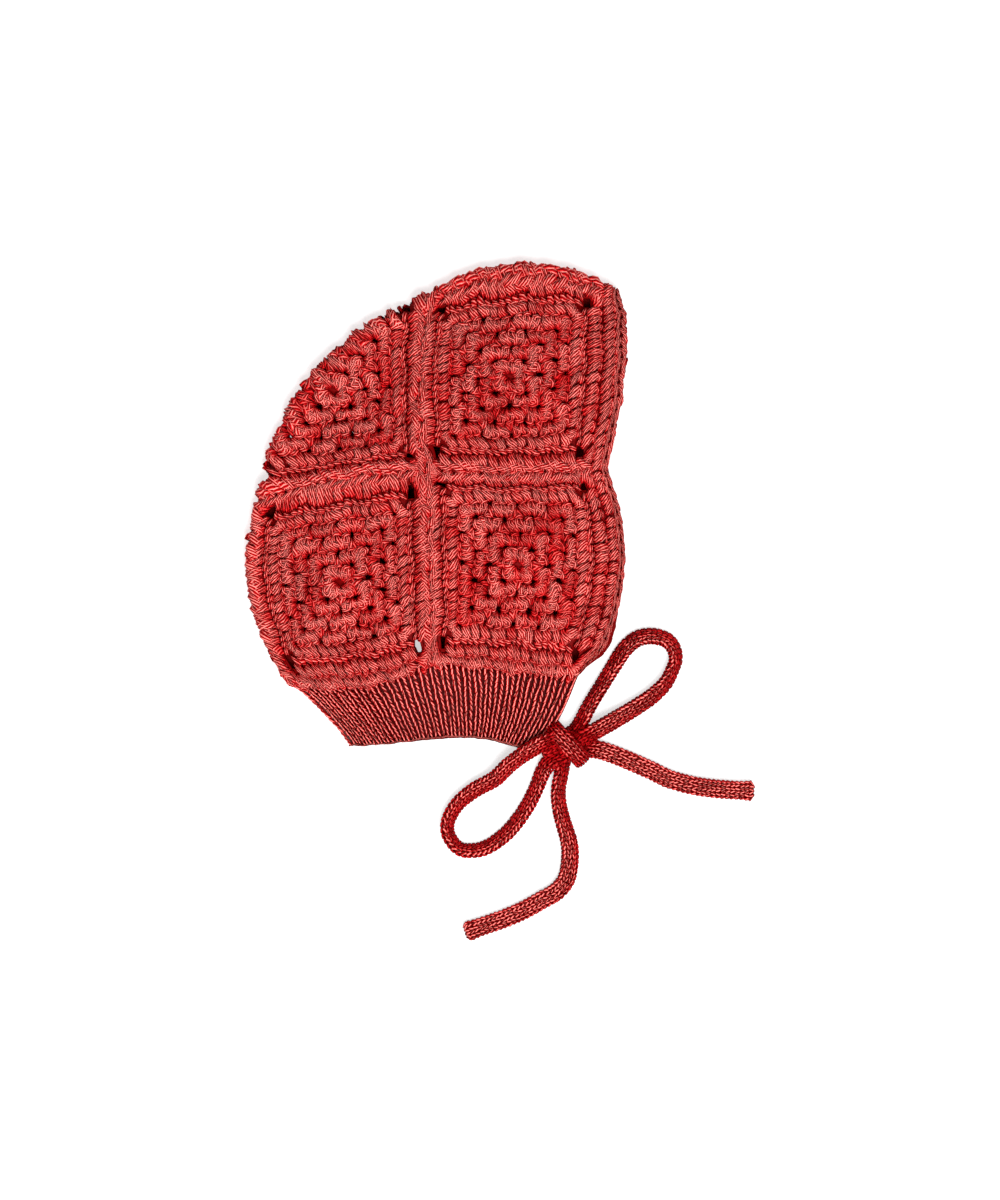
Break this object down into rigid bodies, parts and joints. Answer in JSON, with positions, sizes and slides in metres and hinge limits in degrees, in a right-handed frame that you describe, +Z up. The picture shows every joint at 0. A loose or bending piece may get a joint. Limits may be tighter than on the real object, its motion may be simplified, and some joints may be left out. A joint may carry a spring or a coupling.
{
  "type": "crocheted baby bonnet",
  "caption": "Crocheted baby bonnet of joined granny squares with a ribbed neck band, lying on its side with its knitted ties in a bow",
  "frame": {"origin": "Middle of the bonnet's outline without its ties, on the surface it lies on", "axes": "+X toward the face opening, +Y toward the crown, +Z up from the surface; the wearer's left half is uppermost"},
  "size_m": [0.1817, 0.2441, 0.0226],
  "materials": {
    "crochet": "plied cotton yarn, crocheted, slight sheen",
    "ribbing": "plied cotton yarn, knitted one by one rib",
    "tie": "fine knitted tube, flattened"
  },
  "bodies": {
    "root": {"crown_square": "crochet", "front_top_square_near": "crochet", "front_side_square_near": "crochet", "back_square_near": "crochet", "front_top_square_far": "crochet", "front_side_square_far": "crochet", "back_square_far": "crochet", "front_rear_join_near": "crochet", "crown_rear_join_near": "crochet", "front_join_near": "crochet", "front_rear_join_far": "crochet", "crown_rear_join_far": "crochet", "front_join_far": "crochet", "top_join": "crochet", "back_join": "crochet", "face_edging": "crochet", "neck_band": "ribbing", "bow_knot": "tie", "near_tie_root": "tie", "far_tie_root": "tie", "near_tie_loop": "tie", "far_tie_loop": "tie", "near_tie_tail": "tie", "far_tie_tail": "tie"}
  },
  "joints": []
}
